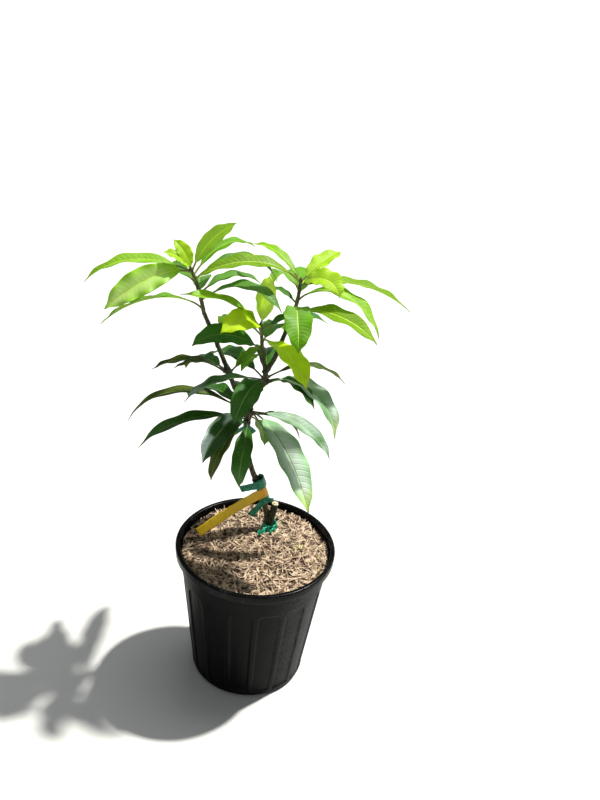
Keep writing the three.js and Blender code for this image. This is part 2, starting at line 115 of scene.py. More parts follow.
class Shade:
    """A shader socket that takes part in arithmetic: each operator adds its Math node."""

    def __init__(self, paint, socket):
        self.paint = paint
        self.socket = socket

    def math(self, operation, *others):
        return self.paint.node("ShaderNodeMath", {"operation": operation}, dict(enumerate((self, *others))))

    def __add__(self, other):
        return self.math("ADD", other)

    def __mul__(self, other):
        return self.math("MULTIPLY", other)

    def __sub__(self, other):
        return self.math("SUBTRACT", other)

    def __rsub__(self, other):
        return self.paint.node("ShaderNodeMath", {"operation": "SUBTRACT"}, {0: other, 1: self})

    def __pow__(self, other):
        return self.math("POWER", other)

    def __abs__(self):
        return self.math("ABSOLUTE")

    __radd__ = __add__
    __rmul__ = __mul__

    def fraction(self):
        return self.math("FRACT")

    def smooth(self, low, high):
        """0 at low and 1 at high, eased at both ends."""
        settings = {"interpolation_type": "SMOOTHSTEP"}
        return self.paint.node("ShaderNodeMapRange", settings, {0: self, 1: low, 2: high, 3: 0.0, 4: 1.0})


class Paint:
    """A material with one Principled shader. Sockets take numbers, web colours or Shade values."""

    def __init__(self, name):
        self.material = bpy.data.materials.new(name)
        self.material.use_nodes = True
        self.tree = self.material.node_tree
        self.shader = self.tree.nodes["Principled BSDF"]

    def node(self, kind, settings=None, inputs=None, output=0):
        """Adds a node, puts in its settings, then feeds its sockets by name or number."""
        made = self.tree.nodes.new(kind)
        for key, value in (settings or {}).items():
            setattr(made, key, value)
        for key, value in (inputs or {}).items():
            self.feed(made.inputs[key], value)
        return Shade(self, made.outputs[output])

    def feed(self, socket, value):
        """Links a Shade value; anything else is set on the socket itself."""
        if isinstance(value, Shade):
            self.tree.links.new(value.socket, socket)
        else:
            socket.default_value = tone(value) if isinstance(value, str) else value

    def set(self, **inputs):
        """Feeds the Principled shader: base_color stands for Base Color, and so on."""
        for key, value in inputs.items():
            self.feed(self.shader.inputs[key.replace("_", " ").title().replace("Ior", "IOR")], value)
        return self.material

    def place(self):
        return self.node("ShaderNodeTexCoord", output="Object")

    def split(self, vector):
        """The first two parts of a vector."""
        return [self.node("ShaderNodeSeparateXYZ", inputs={"Vector": vector}, output=i) for i in (0, 1)]

    def surface(self):
        """The piece's own map, as its two parts."""
        return self.split(self.node("ShaderNodeTexCoord", output="UV"))

    def noise(self, scale, detail=3.0):
        """Cloudy values from 0 to 1. A scale for each axis stretches them into streaks."""
        place = self.place()
        if isinstance(scale, tuple):
            place = self.node("ShaderNodeMapping", inputs={"Vector": place, "Scale": scale})
            scale = 1.0
        inputs = {"Vector": place, "Scale": scale, "Detail": detail, "Roughness": NOISE_ROUGHNESS}
        return self.node("ShaderNodeTexNoise", inputs=inputs)

    def mix(self, first, second, share):
        return self.node("ShaderNodeMix", {"data_type": "RGBA"}, {0: share, 6: first, 7: second}, output=2)

    def bump(self, height, distance, strength=1.0):
        inputs = {"Height": height, "Distance": distance, "Strength": strength}
        return self.node("ShaderNodeBump", inputs=inputs)

    def let_through(self, colour, share, normal=None):
        """Lets light through a thin blade: a share of the surface is a translucent shader."""
        inputs = {"Color": colour} if normal is None else {"Color": colour, "Normal": normal}
        thin = self.node("ShaderNodeBsdfTranslucent", inputs=inputs)
        own = Shade(self, self.shader.outputs[0])
        both = self.node("ShaderNodeMixShader", inputs={0: share, 1: own, 2: thin})
        self.tree.links.new(both.socket, self.tree.nodes["Material Output"].inputs["Surface"])
        return self.material


VEINS = dict(count=18.0, slant=0.08, curve=1.35, relief=0.19)
LEAF_GLOSS = dict(specular_ior_level=0.2, coat_roughness=0.45)


def leaf_finish(name, base, vein, glow, painted_sheen_share, sheen, share, painted_sheen="#e2eeb8", veining=0.2,
                painted_sheen_on="patches", end=None):
    """A leaf's upper face: side veins that slant forward, soft mottling, a painted sheen (pale colour
    standing in for light reflected off its shiny surface) in patches, on one side or all over the middle,
    a paler rim and a tired brown tip, with the end of the blade turned to another colour where end names one."""
    paint = Paint(name)
    across, along = paint.surface()
    out = abs(across * 2.0 - 1.0)
    phase = (along - VEINS["slant"] * out ** VEINS["curve"]) * VEINS["count"]
    off = abs(phase.fraction() - 0.5)
    line = (1.0 - off.smooth(0.0, 0.15)) * (1.0 - out.smooth(0.82, 1.0))
    cloud = paint.noise(38.0, 2.0)
    grain = paint.noise(420.0, 2.0)
    # painted sheen: pale patches in the leaf's colour that stand in for light reflected off its surface
    painted_sheen_mask = paint.noise(26.0, 2.0).smooth(0.4, 0.62)
    if painted_sheen_on == "side":
        painted_sheen_mask = paint.noise(34.0, 1.0).smooth(0.36, 0.46) * across.smooth(0.5, 0.62)
    elif painted_sheen_on == "middle":
        painted_sheen_mask = (painted_sheen_mask * 0.4 + 0.6) * (1.0 - out.smooth(0.3, 1.0)) * (1.0 - abs(along - 0.55).smooth(0.2, 0.5))
    else:
        painted_sheen_mask = painted_sheen_mask * (1.0 - out.smooth(0.55, 1.0) * 0.7)
    body = paint.mix(darker(base, 0.7), base, cloud.smooth(0.3, 0.7))
    # the pale painted sheen mixed into the blade's colour
    body = paint.mix(body, painted_sheen, painted_sheen_mask * painted_sheen_share)
    body = paint.mix(body, vein, line * veining + out.smooth(0.93, 1.0) * 0.22)
    if end:
        body = paint.mix(body, end, along.smooth(0.7, 0.95) * 0.7)
    body = paint.mix(body, "#4a3512", along.smooth(0.93, 1.0) * 0.8)
    relief = paint.bump(line * (-2.5 * veining) + grain * 0.25 + cloud * 0.5, 0.0006, 0.8)
    rough = grain * 0.12 + 0.4
    paint.set(base_color=body, roughness=rough, normal=relief, coat_weight=sheen, **LEAF_GLOSS)
    return paint.let_through(glow, share, relief)


def under_finish(name, base, glow, share):
    """A leaf's matt underside."""
    paint = Paint(name)
    cloud = paint.noise(45.0, 2.0)
    paint.set(base_color=paint.mix(darker(base, 0.8), base, cloud.smooth(0.3, 0.7)), roughness=0.6)
    return paint.let_through(glow, share)


def rib_finish(name, base, glow=None):
    """Midrib or stalk: smooth and slightly glossy, a little darker in patches; a young rib lets
    light through as its blade does."""
    paint = Paint(name)
    cloud = paint.noise(60.0, 2.0)
    paint.set(base_color=paint.mix(darker(base, 0.7), base, cloud.smooth(0.35, 0.6)), roughness=0.42)
    if glow:
        paint.let_through(glow, 0.5)
    return paint.material


def bark_finish(name, dark, light, warm):
    """Young bark: fine upright cracks, paler specks, warmer and darker patches."""
    paint = Paint(name)
    cracks = paint.noise((900.0, 900.0, 130.0), 4.0)
    patch = paint.noise(90.0, 3.0)
    speck = paint.noise(700.0, 1.0)
    body = paint.mix(dark, light, cracks.smooth(0.38, 0.72))
    body = paint.mix(body, warm, patch.smooth(0.45, 0.7) * 0.7)
    body = paint.mix(body, "#b3a385", speck.smooth(0.66, 0.74) * 0.6)
    relief = paint.bump(cracks + patch * 0.6, 0.0007)
    return paint.set(base_color=body, roughness=0.82 - patch * 0.15, normal=relief)


def cut_wood_finish(name):
    """Dry cut wood on the stub: cream with brown grain."""
    paint = Paint(name)
    grain = paint.noise((1400.0, 1400.0, 200.0), 3.0)
    body = paint.mix("#8a6d45", "#efe3c2", grain.smooth(0.35, 0.6))
    return paint.set(base_color=body, roughness=0.85, normal=paint.bump(grain, 0.0005))


def fibre_finish(name, dark, light):
    """Shredded bark: long grain, each strand a little different by where it lies."""
    paint = Paint(name)
    lot = paint.noise(210.0, 1.0)
    grain = paint.noise(1300.0, 2.0)
    body = paint.mix(dark, light, lot.smooth(0.3, 0.68))
    body = paint.mix(body, dark, grain.smooth(0.5, 0.75) * 0.45)
    return paint.set(base_color=body, roughness=0.88, normal=paint.bump(grain, 0.0004))


def peat_finish(name):
    """Dark crumbs between the strands."""
    paint = Paint(name)
    crumbs = paint.noise(520.0, 4.0)
    body = paint.mix("#17110c", "#5a4430", crumbs.smooth(0.4, 0.75))
    return paint.set(base_color=body, roughness=0.95, normal=paint.bump(crumbs, 0.0015))


def pot_finish(name):
    """Satin black plastic: faint upright flow marks and dust; pale dust specks only towards +X are also
    painted sunlight on that side.
    """
    paint = Paint(name)
    flow = paint.noise((260.0, 260.0, 14.0), 3.0)
    dust = paint.noise(55.0, 4.0)
    pores = paint.noise(1500.0, 2.0)
    painted_sunlit_side = paint.split(paint.place())[0].smooth(0.01, 0.06)
    speck = paint.noise(700.0, 2.0).smooth(0.45, 0.7)
    marks = dust.smooth(0.42, 0.75) * 0.6 + flow.smooth(0.5, 0.8) * 0.2
    body = paint.mix("#030304", "#0e0e0f", marks)
    # pale dust specks only on the +X side: dust, and painted sunlight on the side the sun falls on
    body = paint.mix(body, "#515457", painted_sunlit_side * (speck * 0.6 + dust.smooth(0.3, 0.7) * 0.2))
    relief = paint.bump(flow * 0.7 + pores * 0.12, 0.0004)
    rough = dust * 0.2 + 0.38
    return paint.set(base_color=body, roughness=rough, normal=relief, specular_ior_level=0.08)


def lip_finish(name):
    """The pot's rolled lip: the same plastic, smoother and blacker, with a few pale scuffs."""
    paint = Paint(name)
    dust = paint.noise(70.0, 4.0)
    scuff = paint.noise(900.0, 3.0).smooth(0.55, 0.75)
    body = paint.mix("#010102", "#0d0e10", dust.smooth(0.35, 0.7) * 0.6 + scuff * 0.3)
    body = paint.mix(body, "#8b8e91", dust.smooth(0.55, 0.65) * scuff * 0.5)
    relief = paint.bump(dust + scuff * 0.2, 0.0004)
    rough = dust * 0.15 + 0.2
    return paint.set(base_color=body, roughness=rough, normal=relief, specular_ior_level=0.1)


def tape_finish(name, dark, light):
    """Stretchy plant tape: creased, slightly glossy film, paler on its raised creases and darker in their
    hollows as painted light and shade.
    """
    paint = Paint(name)
    crease = paint.noise((260.0, 260.0, 520.0), 4.0)
    # painted light and shade: the colour follows the crease bump, light on its ridges and dark in its hollows
    body = paint.mix(dark, light, crease.smooth(0.35, 0.75))
    relief = paint.bump(crease, 0.0008)
    return paint.set(base_color=body, roughness=0.36, normal=relief)


def label_finish(name):
    """Plain yellow plastic strip, more orange by its loop, with light scuffs."""
    paint = Paint(name)
    along = paint.surface()[1]
    scuff = paint.noise(300.0, 3.0)
    body = paint.mix("#e29a06", "#dcb81a", along.smooth(0.25, 0.6))
    body = paint.mix(body, "#6d5210", scuff.smooth(0.55, 0.8) * 0.5)
    return paint.set(base_color=body, roughness=0.4, normal=paint.bump(scuff, 0.0002))


# blade, veins, light through it, share of painted sheen mixed into the colour, gloss of its clear coat, share
# of light let through, what else differs
LEAF_LOOKS = {
    "gold": ("#d8f21c", "#ecfa70", "#ecff18", 0.05, 0.15, 0.5, {}),
    "lime": ("#b2da0e", "#dcee6a", "#cdea10", 0.08, 0.15, 0.45, {}),
    "fresh": ("#8cbe0a", "#c3dc50", "#b6dc10", 0.12, 0.2, 0.45, {}),
    "citrus": ("#7ca404", "#b4cc3c", "#a4c80c", 0.04, 0.1, 0.42, {}),
    "bright": ("#64a008", "#aed248", "#98cc10", 0.12, 0.2, 0.42, {}),
    "mid": ("#47860e", "#8ab442", "#74ac10", 0.1, 0.15, 0.36, {}),
    "blond": ("#d4ec70", "#f0fac0", "#dcf468", 0.8, 0.6, 0.42,
              dict(painted_sheen="#f4fcd0", veining=0.14, painted_sheen_on="middle")),
    "pale": ("#94cc20", "#dcec9a", "#c4e820", 0.7, 0.7, 0.36,
             dict(painted_sheen="#eaf6b4", veining=0.03, painted_sheen_on="middle")),
    "deep": ("#336e12", "#5a8a34", "#4a8414", 0.12, 0.1, 0.22, dict(painted_sheen="#7fa870")),
    # the next look carries a painted reflection: a pale strip down one side of the blade
    "glossy": ("#1f5510", "#5a8a34", "#3d7410", 0.95, 0.5, 0.2, dict(painted_sheen="#cfe4da", painted_sheen_on="side")),
    "olive": ("#42560c", "#6e7e2e", "#5c6e10", 0.1, 0.05, 0.22, dict(painted_sheen="#8a9a50")),
    # the next two looks are pale mostly by painted sheen, not by the leaf's own colour
    "waxy": ("#7db072", "#c0dcbc", "#7ab458", 0.85, 1.0, 0.18,
             dict(painted_sheen="#e2f0e8", veining=0.16, end="#a8c83a")),
    "frost": ("#8fc486", "#cfe8cc", "#8cc468", 0.9, 1.0, 0.2,
              dict(painted_sheen="#f0faf2", painted_sheen_on="middle", end="#b4d43a")),
    "sage": ("#4f8040", "#a4c49c", "#6ca448", 0.6, 0.5, 0.2, dict(painted_sheen="#c4dccc", veining=0.16)),
}
OTHER_LOOKS = (
    (under_finish, "young_under", "#a4c83c", "#c4ea14", 0.5),
    (under_finish, "blond_under", "#dcf27c", "#ecff80", 0.6),
    (under_finish, "old_under", "#5d7d31", "#5d8c14", 0.3),
    (rib_finish, "young_rib", "#dcee68", "#ecfc58"),
    (rib_finish, "old_rib", "#6f9440"),
    (rib_finish, "young_stalk", "#6d7a26"),
    (rib_finish, "old_stalk", "#333d16"),
    (bark_finish, "bark", "#1f1a0e", "#6b5f3a", "#4a331e"),
    (bark_finish, "green_bark", "#12180a", "#3a4c18", "#28280e"),
    (bark_finish, "twig_bark", "#232b0b", "#6a7428", "#45391a"),
    (cut_wood_finish, "cut_wood"),
    (fibre_finish, "pale_fibre", "#7e6752", "#cdb79c"),
    (fibre_finish, "brown_fibre", "#3a2b1f", "#846a54"),
    (fibre_finish, "dark_fibre", "#1f1610", "#5b4634"),
    (fibre_finish, "fleck", "#8a8742", "#c2c172"),
    (peat_finish, "peat"),
    (pot_finish, "pot_plastic"),
    (lip_finish, "pot_lip"),
    (tape_finish, "tape_dark", "#055c45", "#12a07c"),
    (tape_finish, "tape_bright", "#0a8f70", "#35dcae"),
    (label_finish, "label_plastic"),
)
FINISHES = {name: leaf_finish(name, *look[:-1], **look[-1]) for name, look in LEAF_LOOKS.items()}
FINISHES.update((look[0], make(*look)) for make, *look in OTHER_LOOKS)


# ---- meshes from arrays ----
def unit(v):
    return v / np.maximum(np.linalg.norm(v, axis=-1, keepdims=True), 1e-12)


def square_to(way, axis):
    """A direction with its share along an axis, or along each of many axes, taken out."""
    return unit(way - (axis @ way)[..., None] * axis)


def travel(points):
    """The distance run along a path up to each of its points."""
    return concatenate([[0], np.cumsum(np.linalg.norm(np.diff(points, axis=0), axis=1))])


def ease(x, low=0.0, high=1.0):
    """0 at low and 1 at high, as 3t² - 2t³ between."""
    t = clip((x - low) / (high - low), 0, 1)
    return t * t * (3 - 2 * t)


def lumps(x, y, seed):
    """Smooth field from -1 to 1: random values on a unit lattice, eased between its corners."""
    size = 64
    table = np.random.default_rng(seed).uniform(-1, 1, (size, size))
    i, j = np.floor(x).astype(int), np.floor(y).astype(int)
    fx, fy = ease(x - i), ease(y - j)
    near = table[i % size, j % size] * (1 - fx) + table[(i + 1) % size, j % size] * fx
    far = table[i % size, (j + 1) % size] * (1 - fx) + table[(i + 1) % size, (j + 1) % size] * fx
    return near * (1 - fy) + far * fy


class Skin:
    """Points, faces, map places and finishes of one piece, gathered from grids of rings."""

    def __init__(self):
        self.points, self.faces, self.maps, self.marks, self.names = ([] for _ in range(5))
        self.total = 0

    def mark(self, name):
        """The number of a finish on this piece."""
        if name not in self.names:
            self.names.append(name)
        return self.names.index(name)

    def wrap(self, grid, finish, uv=None):
        """Closed skins over rings of points, shape (pieces, rings, points, 3), each ring turning
        counterclockwise about the way the rings go; both ends are fans round a middle point.
        finish is a name, or a number for each quad; uv has one more column than a ring has points."""
        count, rows, cols = grid.shape[:3]
        i, j = np.indices((rows - 1, cols)).reshape(2, -1)
        k = (j + 1) % cols
        row = i * cols
        quads = stack([row + j, row + k, row + cols + k, row + cols + j], -1)
        j, k = arange(cols), (arange(cols) + 1) % cols
        last, first_hub, last_hub = (rows - 1) * cols, rows * cols, rows * cols + 1
        none = np.full(cols, -1)
        start = stack([np.full(cols, first_hub), k, j, none], -1)
        end = stack([np.full(cols, last_hub), last + j, last + k, none], -1)
        faces = concatenate([quads, start, end])
        if uv is None:
            uv = stack(np.meshgrid(linspace(0, 1, cols + 1), linspace(0, 1, rows)), -1)
        around = stack([uv[:-1, :-1], uv[:-1, 1:], uv[1:, 1:], uv[1:, :-1]], 2).reshape(-1, 4, 2)
        ends = [stack([np.broadcast_to(row.mean(0), (cols, 2)), a, b, a], 1)
                for row, a, b in ((uv[0], uv[0, 1:], uv[0, :-1]), (uv[-1], uv[-1, :-1], uv[-1, 1:]))]
        if isinstance(finish, str):
            marks = np.full(len(faces), self.mark(finish))
        else:
            marks = concatenate([finish.ravel(), finish[0], finish[-1]])
        hubs = stack([grid[:, 0].mean(1), grid[:, -1].mean(1)], 1)
        points = concatenate([grid.reshape(count, rows * cols, 3), hubs], 1)
        shift = self.total + arange(count)[:, None, None] * (rows * cols + 2)
        self.points.append(points.reshape(-1, 3))
        self.faces.append(where(faces < 0, -1, faces + shift).reshape(-1, 4))
        self.maps.append(np.tile(concatenate([around, *ends]), (count, 1, 1)))
        self.marks.append(np.tile(marks, count))
        self.total += points.shape[0] * points.shape[1]
        return self

    def piece(self, name, slot, replaces=(), faceted=False):
        """The finished object: a mesh in metres that rides on the body and wears its finishes."""
        faces, maps = concatenate(self.faces), concatenate(self.maps)
        real = faces >= 0
        mesh = bpy.data.meshes.new(name)
        mesh.vertices.add(self.total)
        mesh.loops.add(int(real.sum()))
        mesh.polygons.add(len(faces))

        def fill(rows, key, values, kind=np.int32):
            rows.foreach_set(key, values.astype(kind).ravel())

        fill(mesh.vertices, "co", concatenate(self.points) * MM, np.float32)
        fill(mesh.loops, "vertex_index", faces[real])
        fill(mesh.polygons, "loop_start", np.cumsum(real.sum(1)) - real.sum(1))
        fill(mesh.polygons, "material_index", concatenate(self.marks))
        fill(mesh.polygons, "use_smooth", np.full(len(faces), not faceted), bool)
        mesh.update(calc_edges=True)
        fill(mesh.uv_layers.new(name="map").data, "uv", maps[real], np.float32)
        for finish in self.names:
            mesh.materials.append(FINISHES[finish])
        made = put(name, mesh)
        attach(made, "root")
        if replaces:
            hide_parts(*replaces)


# ---- stems ----
FOOT = array([8.0, 40.0, 148.3])
TRUNK = dict(foot=3.2, tip=2.1, points=[
    (3, 0, 0), (0.5, 0, 22), (-6, 0, 43), (-14, 0, 64), (-21, 0, 84), (-25.5, 0, 112), (-26.5, 0, 130),
    (-24.8, 0, 146), (-19.5, 0, 164), (-11.5, 0, 183), (-13, 1, 195), (-16, 2, 207)])
STUB = dict(foot=4.3, tip=3.6, points=[(4.5, -1, 0), (6, -0.5, 15), (9, 0, 33)])
BOUGH_LEFT = dict(foot=2.55, tip=1.95, points=[
    (-24, 0, 146), (-32, 0, 156), (-39, -1, 167), (-48.5, -2, 190), (-61, -4, 221), (-74, -6, 252)])
BOUGH_RIGHT = dict(foot=2.45, tip=1.85, points=[
    (-12.4, 0.6, 190), (-8, 0, 198), (-4, -1, 207), (3, -2, 232), (10.5, -4, 259)])
TWIG_LEFT = dict(foot=1.95, tip=1.55, points=[
    (-74, -6, 252), (-77, -7, 266), (-81, -8, 280), (-86, -9.5, 294)])
TWIG_RIGHT = dict(foot=1.85, tip=1.5, points=[
    (10.5, -4, 259), (12.5, -4.5, 269), (13.5, -5, 280), (14, -5, 290)])
TWIG_CENTRE = dict(foot=1.9, tip=1.45, points=[(-16, 2, 207), (-17.5, 4, 221), (-19.5, 5, 236)])
# how far a leaf's root lies out of the bark, inside the swollen node
ROOT_OUT = 1.62
COLLAR_LOWER = dict(on=TRUNK, start=139, end=150)
COLLAR_FORK = dict(on=TRUNK, start=183, end=192)
COLLAR_MID = dict(on=BOUGH_LEFT, start=44, end=53)
FLARE = dict(radius=5.6, height=9.0)
# the stub's cut face, ring by ring: share of the radius, height over the top ring, roughness
CUT_FACE = ((0.97, -0.8, 0.0), (0.95, 1.3, 1.1), (0.7, 1.0, 1.3), (0.4, 0.6, 0.8), (0.12, 0.4, 0.2))
SWELL_WIDTH = 6.5
SCAR = dict(turn=2.4, narrow=3.5, height=1.1, ledge_up=1.3, ledge_height=0.35, ledge_share=0.7)
BUD_RINGS, STUB_SIDES = 8, 32


def curve(stem, shares=None):
    """Centripetal Catmull-Rom curve through a stem's points, read at shares of its length.
    Returns the points, or the whole length when no shares are given."""
    p = array(stem["points"], float) + FOOT
    p = np.vstack([2 * p[0] - p[1], p, 2 * p[-1] - p[-2]])
    gap = sqrt(np.linalg.norm(np.diff(p, axis=0), axis=1))[:, None]
    before, own, after = gap[:-2], gap[1:-1], gap[2:]
    a, b, c, d = p[:-3], p[1:-2], p[2:-1], p[3:]
    leave = ((b - a) / before - (c - a) / (before + own) + (c - b) / own) * own
    reach = ((c - b) / own - (d - b) / (own + after) + (d - c) / after) * own
    t = linspace(0, 1, 60)[None, :, None]
    b, c, leave, reach = (x[:, None] for x in (b, c, leave, reach))
    fine = b + leave * t + (3 * c - 3 * b - 2 * leave - reach) * t**2 + (2 * b - 2 * c + leave + reach) * t**3
    fine = fine.reshape(-1, 3)
    run = travel(fine)
    if shares is None:
        return run[-1]
    at = np.asarray(shares, float) * run[-1]
    return stack([np.interp(at, run, fine[:, k]) for k in range(3)], -1)


def girth(stem, share):
    """A limb's radius at a share of its length: an even taper."""
    return stem["foot"] + (stem["tip"] - stem["foot"]) * share


def rings(centres, radii, sides):
    """Rings round a path that climbs: centre + radius (cos a · side + sin a · other), where side is
    the X direction with its share along the path taken out. radii is one per ring, or per point."""
    ahead = unit(np.gradient(centres, axis=0))
    side = square_to(RIGHT, ahead)
    other = np.cross(ahead, side)
    a = (2 * pi * arange(sides) / sides)[None, :, None]
    radii = np.broadcast_to(np.reshape(radii, (len(centres), -1)), (len(centres), sides))[..., None]
    return centres[:, None] + radii * (cos(a) * side[:, None] + sin(a) * other[:, None])


def scars(turn, up, length, spacing, seed):
    """Old leaf scars: bumps in a spiral up a stem, each a bell in height times a bell round it,
    with a thin ledge over its top."""
    random = np.random.default_rng(seed)
    even = arange(spacing, length, spacing)
    at = even + random.uniform(-0.35, 0.35, len(even)) * spacing
    facing = SCAR["turn"] * arange(len(at)) + random.uniform(-0.4, 0.4, len(at))
    near = exp(SCAR["narrow"] * (cos(turn[..., None] - facing) - 1))
    rise = up[..., None] - at
    ledge = exp(-((rise - SCAR["ledge_up"]) / SCAR["ledge_height"]) ** 2)
    bump = exp(-(rise / SCAR["height"]) ** 2) + SCAR["ledge_share"] * ledge
    return (random.uniform(0.5, 1.0, len(at)) * near * bump).sum(-1)


def stem_grid(stem, sides, step, relief, spacing, seed, swells=(), bud=0.0, sink=0.0):
    """A limb as rings: its taper, swollen nodes, leaf scars and fine unevenness. bud closes the tip
    in a pointed bud of that length; sink starts the limb that far before its own foot."""
    length = curve(stem)
    up = arange(0, length + step, step).clip(0, length)
    centres = curve(stem, up / length)
    radii = girth(stem, up / length)
    if sink:
        back = unit(centres[0] - centres[2])
        centres = np.vstack([centres[0] + sink * back, centres])
        radii, up = concatenate([radii[:1], radii]), concatenate([[-sink], up])
    if bud:
        ahead = unit(centres[-1] - centres[-3])
        share = linspace(0, 1, BUD_RINGS + 1)[1:]
        centres = np.vstack([centres, centres[-1] + ahead * bud * share[:, None]])
        plump = (1 + 0.5 * sin(pi * share * 0.8)) * (1 - share**2)
        radii = concatenate([radii, radii[-1] * plump + 0.05])
        up = concatenate([up, length + bud * share])
    turn = 2 * pi * arange(sides) / sides
    turn, high = np.broadcast_arrays(turn[None, :], up[:, None])
    body = radii[:, None] + sum(size * exp(-((high - at) / SWELL_WIDTH) ** 4) for at, size in swells)
    body = body + relief * scars(turn, high, length, spacing, seed)
    body = body + 0.12 * lumps(cos(turn) * 2.5 + 7, high / 3 + sin(turn) * 2.5, seed + 1)
    return rings(centres, body, sides)[None]


def up_collar(collar, share=0.5):
    """Height on its limb at a share of a collar, which is its middle unless told."""
    return collar["start"] + (collar["end"] - collar["start"]) * share


def make_trunk():
    """Trunk with swollen whorl nodes, its flared foot and the cut rootstock stub beside it."""
    skin = Skin()
    whorls = [(up_collar(COLLAR_LOWER), 1.5), (up_collar(COLLAR_FORK), 1.4)]
    grid = stem_grid(TRUNK, 28, 0.9, 0.55, 7.5, 3, whorls)
    up = grid[0, :, :, 2] - FOOT[2]
    centre = grid.mean(2, keepdims=True)
    flare = 1 + (FLARE["radius"] / TRUNK["foot"] - 1) * (1 - ease(up, 0, FLARE["height"]))[None, ..., None]
    grid = centre + (grid - centre) * flare
    grid[..., 2] = np.maximum(grid[..., 2], FOOT[2])
    skin.wrap(grid, "bark")
    stub = stem_grid(STUB, STUB_SIDES, 0.8, 0.5, 9.0, 8)
    top = stub[:, -1:]
    hub = top.mean(2, keepdims=True)
    sides = arange(STUB_SIDES)
    jag = lumps(sides * 0.9, sides * 0.37, 12)[None, None, :, None]
    skin.wrap(concatenate([stub, top + UP * 0.5], 1).clip(min=[-1e3, -1e3, FOOT[2]]), "green_bark")
    cut = [hub + (top - hub) * share + UP * (rise + jag * rough) for share, rise, rough in CUT_FACE]
    skin.wrap(concatenate(cut, 1), "cut_wood")
    skin.piece("trunk_bark", "bark", ["trunk"])


def make_boughs():
    """Left bough from the lower whorl and right bough from the fork, each sunk into the trunk."""
    node = (up_collar(COLLAR_MID), 1.3)
    for name, stem, seed, swells in (("bough_left", BOUGH_LEFT, 21, [(0.0, 0.9), node]),
                                     ("bough_right", BOUGH_RIGHT, 22, [(0.0, 0.8)])):
        limb = stem_grid(stem, 24, 0.9, 0.45, 6.0, seed, swells, sink=1.0)
        Skin().wrap(limb, "green_bark").piece(name + "_bark", "green_bark", [name])


# ---- leaves ----
# place, heading, rise, length, width, droop, swing, roll, bend, finish
LEFT_LEAVES = [
    (0.95, 203, 75, 92, 27, 117, 0, -50, 0.25, "pale"),
    (1.0, 172, 16, 111, 20, 67, 8, -12, 1.3, "fresh"),
    (1.0, 195, 58, 34, 14, 52, -5, -20, 1.3, "lime"),
    (1.0, 157, 70, 34, 15, 40, 0, -30, 1.3, "lime"),
    (1.0, -30, 72, 76, 16, 40, 0, -65, 1.0, "citrus"),
    (0.9, 52, 44, 85, 15, 82, -15, 0, 1.3, "bright"),
    (0.8, 17, 47, 95, 17, 117, -4, 0, 1.3, "mid"),
    (0.45, 42, 34, 71, 15, 77, -29, 0, 1.3, "mid"),
    (0.3, -3, 44, 90, 18, 98, -26, 0, 1.3, "mid"),
    (0.05, 192, 67, 108, 20, 114, -5, 18, 0.5, "bright"),
]
CENTRE_LEAVES = [
    (1.0, 295, 82, 60, 20, 8, 0, -35, 1.3, "blond"),
    (0.95, 245, 50, 69, 26, 82, -25, -40, 1.3, "gold"),
    (0.9, 32, 27, 74, 18, 62, -23, 0, 1.3, "deep"),
    (0.6, 309, 14, 80, 31, 76, 6, -10, 1.3, "gold"),
    (0.6, 223, 85, 113, 17, 81, -18, -10, 0.6, "fresh"),
    (0.2, 200, 38, 79, 24, 84, 2, -35, 1.8, "deep"),
    (0.1, 217, -6, 30, 11, 47, 14, 0, 1.3, "bright"),
]
RIGHT_LEAVES = [
    (1.0, 195, 52, 106, 20, 91, -11, -15, 0.8, "citrus"),
    (1.0, 140, 48, 66, 13, 66, 10, 0, 1.3, "fresh"),
    (1.0, 44, 35, 59, 20, 40, 9, 0, 1.3, "lime"),
    (0.85, 350, 52, 50, 26, 124, -30, 20, 1.3, "lime"),
    (0.3, -8, 81, 106, 22, 152, -6, 0, 0.6, "fresh"),
    (0.05, 323, 25, 95, 22, 70, 20, 10, 1.3, "citrus"),
    (0.9, 12, 14, 114, 20, 54, -14, 0, 1.1, "citrus"),
    (0.2, 271, 27, 70, 28, 110, 11, 0, 1.3, "bright"),
    (0.3, 138, 26, 38, 9, 44, 6, 0, 1.3, "deep"),
]
FORK_LEAVES = [
    (0.9, 249, 20, 76, 26, 76, 0, -10, 1.3, "deep"),
    (0.7, 321, 34, 112, 23, 127, 8, 0, 1.3, "waxy"),
    (0.3, 316, 42, 77, 17, 88, -8, 0, 1.3, "deep"),
    (0.9, 36, 16, 92, 14, 64, -37, 0, 1.3, "olive"),
    (0.7, 208, 22, 86, 18, 74, -12, 10, 1.3, "sage"),
]
MID_LEAVES = [
    (0.5, 191, 48, 77, 15, 86, -11, 0, 0.8, "olive"),
    (0.7, 215, 46, 60, 12, 72, -10, 0, 1.3, "olive"),
    (0.6, 39, 36, 40, 14, 18, 3, 0, 1.3, "fresh"),
]
LOWER_LEAVES = [
    (0.95, 311, 35, 125, 32, 98, 0, 5, 0.42, "frost"),
    (0.9, 347, 8, 99, 19, 78, 6, 10, 1.3, "sage"),
    (0.5, 18, 0, 68, 15, 76, -2, 0, 1.3, "deep"),
    (0.4, 195, 10, 118, 20, 67, -12, 0, 1.3, "deep"),
    (0.2, 246, 36, 89, 24, 107, -14, -20, 1.3, "glossy"),
    (0.1, 236, -12, 76, 15, 80, -10, 0, 1.3, "olive"),
    (0.1, 272, -3, 79, 20, 108, -26, 0, 1.3, "deep"),
    (0.2, 57, -36, 64, 22, 50, 9, 0, 1.3, "lime"),
    (0.7, 19, -56, 70, 12, 12, -9, 0, 1.3, "deep"),
    (0.8, 187, 38, 136, 17, 105, -5, 0, 1.3, "olive"),
]
DARK_LEAVES = ("mid", "deep", "olive", "glossy")
STALK_SHARE = 0.14
